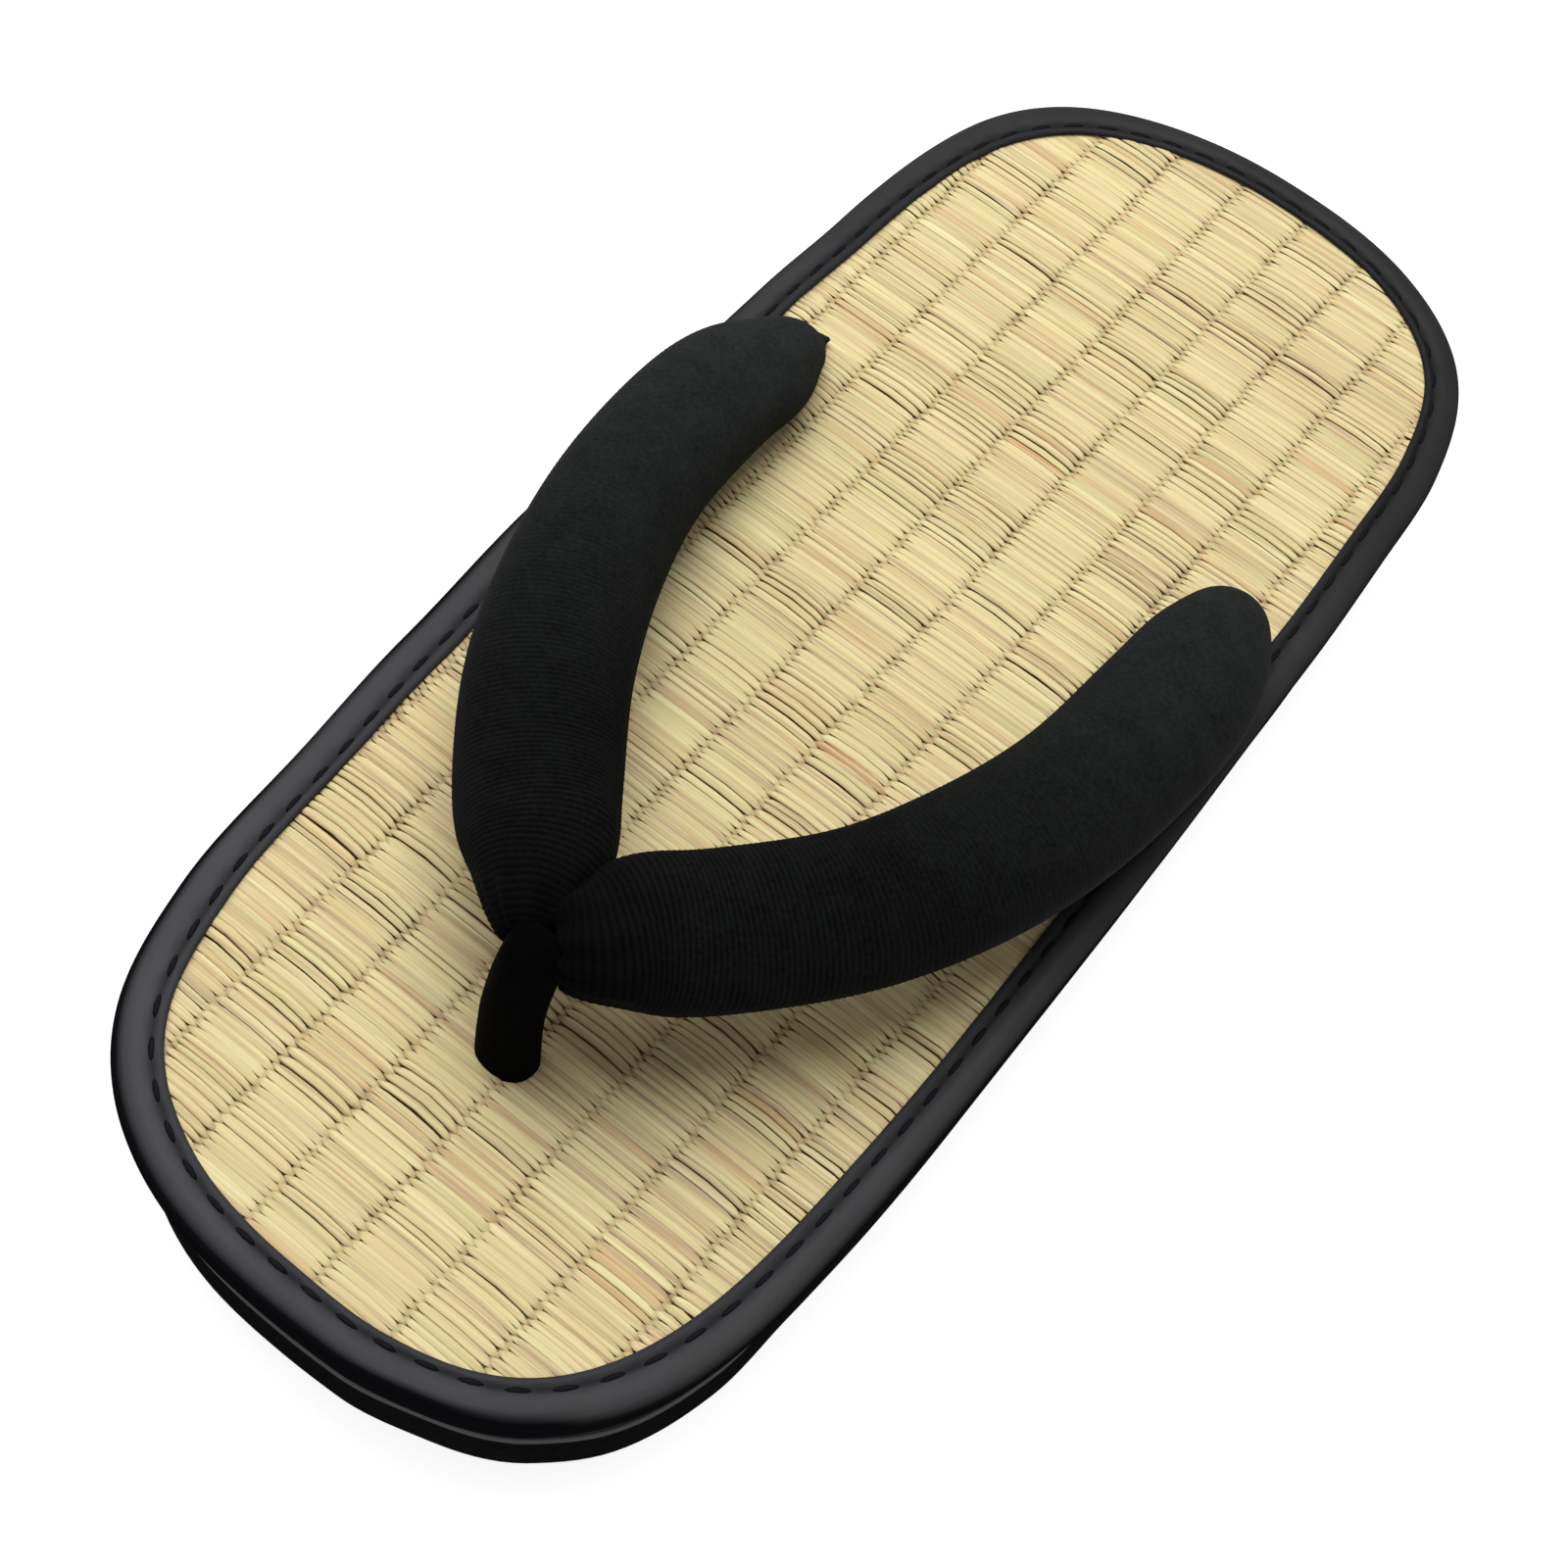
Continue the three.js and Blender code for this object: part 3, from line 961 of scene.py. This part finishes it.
# %% Sew the thread
THREAD = {"length": 3.6, "width": 1.0, "height": 0.7, "up": 0.74}
UP = Vector((0, 0, 1))
sewn_outs = strip_outs(SEWN_OUT)

shape = bmesh.new()
for index in range(STITCH_COUNT):
    number = index * POINTS_PER_STITCH + POINTS_PER_STITCH // 2
    point, outward = EDGE[number]
    place = point + outward * sewn_outs[number] + UP * (MAT_TOP + THREAD["up"])
    lay = Matrix((UP.cross(outward), outward, UP)).transposed().to_4x4()
    size = Matrix.Diagonal((THREAD["length"] / 2, THREAD["width"] / 2, THREAD["height"] / 2, 1))
    bmesh.ops.create_uvsphere(
        shape, u_segments=8, v_segments=6, radius=MM,
        matrix=Matrix.Translation(place * MM) @ lay @ size,
    )
sewing_thread, start = new_finish("sewing_thread")
plies = grain(start, (1400, 1400, 1400))
set_shader(sewing_thread, {
    "Base Color": mixed(plies, (0.001, 0.001, 0.002, 1), (0.006, 0.006, 0.009, 1)),
    "Roughness": 0.6 + plies * 0.2,
    "Normal": bumped(plies, 0.00008, 0.5),
    "Specular IOR Level": 0.08,
})
add_piece("binding_thread", shape, sewing_thread, "edge_binding")

# %% [markdown]
# ## Padded strap
#
# Each arm of the V is a tube of ribbed black cloth stuffed tight. It starts in a gathered nose at
# the toe post, runs back over the foot, and goes down into the mat behind its middle. The tube is
# drawn as rings on a smooth run through a table of sections, and then blown up as cloth, so that it
# swells as stuffed cloth does. A voxel remesh would lose the rings, and the ribs need them, so the
# cloth works on the rings themselves.

# %% The run of an arm
RIGHT_ARM = [  # x, y, rise over the mat, width, depth
    (1.5, -73.4, 26.2, 12.4, 10.5),
    (5.1, -70.4, 26.2, 17.0, 13.8),
    (9.0, -64.8, 24.6, 22.6, 17.5),
    (16.3, -56.4, 21.8, 23.6, 18.2),
    (27.8, -40.5, 18.8, 23.8, 18.2),
    (35.9, -22.1, 16.2, 24.6, 17.6),
    (40.4, -2.9, 13.2, 24.2, 16.8),
    (41.8, 18.5, 9.4, 24.0, 16.4),
    (41.1, 31.3, 7.8, 21.0, 14.6),
    (40.0, 40.3, 5.0, 14.6, 11.4),
    (39.6, 43.7, 0.6, 10.6, 9.8),
    (39.5, 44.1, -3.2, 10.0, 9.6),
]
LEFT_ARM = [
    (-1.0, -76.5, 26.6, 5.2, 7.0),
    (-4.1, -71.7, 26.4, 12.8, 13.0),
    (-8.5, -64.4, 24.6, 21.0, 17.0),
    (-15.7, -56.0, 21.8, 23.8, 18.0),
    (-27.0, -39.8, 18.8, 24.6, 18.0),
    (-35.3, -21.8, 16.2, 23.8, 17.4),
    (-40.7, -3.0, 13.2, 22.8, 16.6),
    (-42.8, 17.4, 9.4, 22.4, 16.2),
    (-41.2, 28.4, 7.8, 19.6, 14.2),
    (-41.1, 36.1, 5.0, 13.0, 11.0),
    (-41.4, 39.6, 0.6, 9.6, 9.4),
    (-41.3, 40.0, -3.2, 9.4, 9.4),
]
RUN_STEPS = 60


def between_rows(rows, place):
    """A row of a table between two of its lines, on a smooth curve through them."""
    index = min(int(place), len(rows) - 2)
    share = place - index
    near = [rows[min(max(index + step, 0), len(rows) - 1)] for step in (-1, 0, 1, 2)]
    row = []
    for a, b, c, d in zip(*near):
        bend = 2 * a - 5 * b + 4 * c - d + share * (3 * (b - c) + d - a)
        row.append(b + 0.5 * share * (c - a + share * bend))
    return row


def even_run(rows, spacing):
    """Rows at even steps along the curve, each with its distance from the start, in mm."""
    steps = (len(rows) - 1) * RUN_STEPS
    fine = [between_rows(rows, step / RUN_STEPS) for step in range(steps + 1)]
    picked, walked = [(0.0, fine[0])], 0.0
    for here, there in zip(fine, fine[1:]):
        walked += (Vector(there[:3]) - Vector(here[:3])).length
        if walked >= picked[-1][0] + spacing:
            picked.append((walked, there))
    return picked


RIB_PITCH = 0.85
RIB_CUTS = 4
RING_SPACING = RIB_PITCH / 4 * 2 * (RIB_CUTS + 1)
ARM_RUNS = {1: even_run(RIGHT_ARM, RING_SPACING), -1: even_run(LEFT_ARM, RING_SPACING)}
print("arm of", len(ARM_RUNS[1]), "rings,", round(ARM_RUNS[1][-1][0]), "mm long")


# %% Draw a tube on a run
def way_on(run, index):
    """The direction of a run at one of its rings."""
    low, high = max(index - 1, 0), min(index + 1, len(run) - 1)
    return (Vector(run[high][1][:3]) - Vector(run[low][1][:3])).normalized()


def rounded(value, power):
    """A sine or cosine with its size raised to a power: under 1 the oval gets squarer."""
    return math.copysign(abs(value) ** power, value)


def draw_tube(shape, run, sides, level_side, shrink, power=1.0):
    """A closed tube of oval rings; the rings' distance goes to the layer along. In mm."""
    along_layer = shape.verts.layers.float["along"]
    loops = []
    for index, (walked, (x, y, rise, width, depth)) in enumerate(run):
        ahead = way_on(run, index)
        side = level_side(ahead)
        outward = ahead.cross(side)
        ring = bmesh.ops.create_circle(shape, segments=sides, radius=1)["verts"]
        for number, vert in enumerate(ring):
            angle = 2 * math.pi * number / sides
            across = side * (width / 2 * rounded(math.cos(angle), power))
            upward = outward * (depth / 2 * rounded(math.sin(angle), power))
            vert.co = (Vector((x, y, MAT_TOP + rise)) + (across + upward) * shrink) * MM
            vert[along_layer] = walked
        loops.append(ring_edges(ring))
    bridge_rings(shape, loops)
    close_ends(shape, loops)


def level_across(ahead):
    """The side direction of a strap arm, which always lies level."""
    flat = Vector((ahead.y, -ahead.x, 0))
    return flat.normalized() if flat.length > 1e-3 else Vector((1, 0, 0))


print("tube helper ready")

# %% [markdown]
# Blender's cloth takes an air pressure from inside. The ends are held, because they are sewn into
# the mat and the post. Twenty frames are enough, and no point may move further than a cap, so the
# strap keeps its real size. The tube starts a little thin, since it swells.

# %% Swell a stuffed piece
SWELL_FRAMES = 20
CLOTH_MASS = 0.004


def swell(piece, stuffing):
    """Blows the piece up as cloth, with its ends held, and keeps the result."""
    rest = [vertex.co.copy() for vertex in piece.data.vertices]
    along = [value.value for value in piece.data.attributes["along"].data]
    last = max(along)
    held = piece.vertex_groups.new(name="held")
    ends = [
        index for index, walked in enumerate(along)
        if min(walked, last - walked) < stuffing["held_ends"]
    ]
    held.add(ends, 1.0, "REPLACE")
    cloth = piece.modifiers.new("stuffing", "CLOTH")
    cloth.settings.use_pressure = True
    cloth.settings.uniform_pressure_force = stuffing["pressure"]
    cloth.settings.effector_weights.gravity = 0
    cloth.settings.vertex_group_mass = held.name
    cloth.settings.mass = CLOTH_MASS
    cloth.point_cache.frame_end = SWELL_FRAMES
    for number in range(1, SWELL_FRAMES + 1):
        bpy.context.scene.frame_set(number)
    solved = piece.evaluated_get(bpy.context.evaluated_depsgraph_get())
    swollen = [vertex.co.copy() for vertex in solved.data.vertices]
    piece.modifiers.remove(cloth)
    piece.vertex_groups.remove(held)
    bpy.context.scene.frame_set(1)
    furthest, cap = 0.0, stuffing["cap"]
    for vertex, before, after in zip(piece.data.vertices, rest, swollen):
        step = after - before
        furthest = max(furthest, step.length)
        vertex.co = before + step * min(1, cap * MM / max(step.length, 1e-9))
    print(piece.name, "swelled by up to", round(furthest / MM, 2), "mm, capped at", cap)


# %% Draw and stuff both arms
ARM_SIDES = 24
STUFFING = {"shrink": 0.975, "held_ends": 4.0, "cap": 0.6, "pressure": 14.0}

strap_cloth, start = new_finish("ribbed_cloth")
shape = bmesh.new()
shape.verts.layers.float.new("along")
for hand in (1, -1):
    draw_tube(shape, ARM_RUNS[hand], ARM_SIDES, level_across, STUFFING["shrink"])
bmesh.ops.recalc_face_normals(shape, faces=shape.faces)
strap = add_piece("padded_strap", shape, strap_cloth, "strap")
swell(strap, STUFFING)
round_off(strap, levels=1)

# %% [markdown]
# The cloth is gathered where it goes into the post, so folds run out from the nose and fade
# within 12 mm. The ribs go round the tube, one every 0.85 mm. A small corner of cloth sticks out
# at the rear of the left arm. All come after the swelling, which would smooth them away. The ribs
# need four rings each, so only the edges that run along an arm are cut.

# %% Gather the noses and raise the ribs
GATHER = {"count": 9, "height": 0.4, "from": 2.0, "reach": 12.0, "swirl": 1.7, "sink": 0.2}
LEAST_ALONG = 0.2 * RING_SPACING
RIB_HEIGHT = {"front": 0.06, "rear": 0.02, "fade_from": 30.0, "fade_to": 80.0}
TIP = {"place": (-40.6, 43.9, 26.8), "pull": (1.8, 1.1, 0.0), "reach": 1.3}


def faded(value, low, high):
    """1 up to low, 0 from high, and smooth between."""
    return 1 - smooth(kept((value - low) / (high - low)))


def around_arm(point, walked, hand):
    """The angle of a point about its arm's middle line."""
    run = ARM_RUNS[hand]
    index = min(round(walked / RING_SPACING), len(run) - 1)
    x, y, rise, width, depth = run[index][1]
    side = level_across(way_on(run, index))
    outward = way_on(run, index).cross(side)
    reach = point / MM - Vector((x, y, MAT_TOP + rise))
    return math.atan2(reach.dot(outward) / depth, reach.dot(side) / width)


def reopened(piece):
    """A bmesh of a finished piece, to shape it further."""
    shape = bmesh.new()
    shape.from_mesh(piece.data)
    shape.normal_update()
    return shape


def put_back(shape, piece):
    """Gives the piece its new shape."""
    shape.to_mesh(piece.data)
    shape.free()
    piece.data.shade_smooth()


shape = reopened(strap)
along_layer = shape.verts.layers.float["along"]
moves = []
for vert in shape.verts:
    walked = vert[along_layer]
    amount = GATHER["height"] * faded(walked, GATHER["from"], GATHER["reach"])
    if amount == 0:
        continue
    hand = 1 if vert.co.x > 0 else -1
    angle = around_arm(vert.co, walked, hand)
    fold = math.cos(GATHER["count"] * angle + GATHER["swirl"] * math.sin(2 * angle + hand))
    moves.append((vert, vert.normal * (fold - GATHER["sink"]) * amount * MM))
for vert, step in moves:
    vert.co += step
runs_along = [
    edge for edge in shape.edges
    if abs(edge.verts[0][along_layer] - edge.verts[1][along_layer]) > LEAST_ALONG
]
bmesh.ops.subdivide_edges(shape, edges=runs_along, cuts=RIB_CUTS, use_grid_fill=True)
shape.normal_update()
for vert in shape.verts:
    walked = vert[along_layer]
    share = faded(walked, RIB_HEIGHT["fade_from"], RIB_HEIGHT["fade_to"])
    height = RIB_HEIGHT["rear"] + (RIB_HEIGHT["front"] - RIB_HEIGHT["rear"]) * share
    rib = math.cos(2 * math.pi * walked / RIB_PITCH)
    vert.co += vert.normal * (rib * height * MM)
tip_place, tip_pull = Vector(TIP["place"]), Vector(TIP["pull"])
for vert in shape.verts:
    near = math.exp(-((vert.co / MM - tip_place).length / TIP["reach"]) ** 2)
    vert.co += tip_pull * near * MM
put_back(shape, strap)
print("strap", len(strap.data.polygons), "faces with ribs")

# %% [markdown]
# The cloth is a dull black with a faint green-grey bloom where its fibres stand up. The ribs' tops
# are painted lighter, a painted highlight, most clearly at the front. Painted light lifts the
# cloth towards the rear of each arm, by the distance that the mesh carries, and on the left, and
# the noses, tucked in round the post, are painted near black as painted shade.

# %% Ribbed cloth
lint = grain(start, (1500, 1500, 1500), detail=4)
bloom = grain(start, (240, 240, 240), detail=4)
walked = painted(start, "along")
# Painted highlight on the tops of the ribs, strongest at the front.
rib = walked.maths("COSINE", walked * (2 * math.pi / RIB_PITCH))
front = (1 - walked * 0.011).clamped()
# Painted light: lighter towards the rear of each arm and on the left.
painted_light = (walked * 0.011 - 0.43 - along_axis(start, "X") * 2.5).clamped()
mottle = ((lint * 0.65 + bloom * 0.35 - 0.3) * 2.5 + rib * front * 0.4).clamped()
black_cloth = mixed(mottle, (0.001, 0.0012, 0.001, 1), (0.005, 0.0059, 0.0054, 1))
grey_cloth = mixed(mottle, (0.008, 0.0092, 0.0086, 1), (0.019, 0.0211, 0.02, 1))
# The cloth with its painted light.
painted_light_cloth = mixed(painted_light, black_cloth, grey_cloth)
# Painted shade: the noses, tucked in round the post, go near black.
clear_of_nose_shade = (walked * 0.055 + 0.1).clamped()
set_shader(strap_cloth, {
    "Base Color": mixed(clear_of_nose_shade, (0.0006, 0.0006, 0.0006, 1), painted_light_cloth),
    "Roughness": 0.86 + lint * 0.12,
    "Normal": bumped(lint, 0.00015, 0.6),
    "Sheen Weight": 0.006,
    "Sheen Roughness": 0.5,
    "Specular IOR Level": 0.03,
})
print("cloth set")

# %% [markdown]
# ## Toe post
#
# The post is a folded strip of black velvet that holds the noses down, so its section is a little
# square. It is stuffed as the arms are, with a few soft lengthwise folds and a short nap.

# %% Draw and stuff the post
POST_SECTIONS = [  # x, y, rise over the mat, width, depth
    (0.4, -81.1, -3.2, 9.4, 7.0),
    (0.4, -81.0, 1.0, 9.6, 7.0),
    (0.2, -79.9, 12.0, 9.4, 7.0),
    (0.4, -78.2, 21.0, 9.0, 7.4),
    (0.7, -76.4, 26.3, 8.4, 8.0),
    (0.7, -74.6, 28.2, 7.6, 7.4),
    (0.6, -72.8, 28.8, 5.6, 5.6),
]
POST_SIDES = 24
POST_POWER = 0.74
POST_SPACING = 1.3
POST_STUFFING = {"shrink": 0.98, "held_ends": 3.0, "cap": 0.3, "pressure": 150.0}


def post_across(ahead):
    """The side direction of the upright post."""
    return (Vector((1, 0, 0)) - ahead * ahead.x).normalized()


post_velvet, start = new_finish("post_velvet")
shape = bmesh.new()
shape.verts.layers.float.new("along")
post_run = even_run(POST_SECTIONS, POST_SPACING)
draw_tube(shape, post_run, POST_SIDES, post_across, POST_STUFFING["shrink"], POST_POWER)
bmesh.ops.recalc_face_normals(shape, faces=shape.faces)
post = add_piece("velvet_post", shape, post_velvet, "toe_post")
swell(post, POST_STUFFING)
round_off(post, levels=2)

# %% Fold and nap the velvet
POST_MIDDLE = (0.4, -79)
FOLD = {"height": 0.12, "count": 4, "twist_per_mm": 0.05, "uneven": 1.2}
NAP = {"height": 0.07, "per_mm": 2.4}

shape = reopened(post)
steps = []
for vert in shape.verts:
    x, y, z = vert.co / MM
    angle = math.atan2(y - POST_MIDDLE[1], x - POST_MIDDLE[0])
    twist = FOLD["twist_per_mm"] * z + FOLD["uneven"] * math.sin(angle)
    fold = FOLD["height"] * math.cos(FOLD["count"] * angle + twist)
    nap = NAP["height"] * noise.noise(vert.co / MM * NAP["per_mm"])
    steps.append(vert.normal * (fold + nap) * MM)
for vert, step in zip(shape.verts, steps):
    vert.co += step
put_back(shape, post)
pile = grain(start, (2200, 2200, 2200), detail=3)
crush = grain(start, (260, 260, 120), detail=2)
set_shader(post_velvet, {
    "Base Color": mixed(crush, (0.0004, 0.0004, 0.0005, 1), (0.0014, 0.0014, 0.0016, 1)),
    "Roughness": 0.9 + pile * 0.1,
    "Normal": bumped(pile, 0.0002, 0.8),
    "Sheen Weight": 0.006,
    "Sheen Roughness": 0.3,
    "Specular IOR Level": 0.02,
})
print("post folded and napped")

# %% [markdown]
# ## Size
#
# The dressed sandal has to keep the size of its solids. Its box is measured and printed.

# %% Measure the dressed box
low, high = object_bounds()
print("dressed span", [round(side / MM, 1) for side in high - low], "mm")
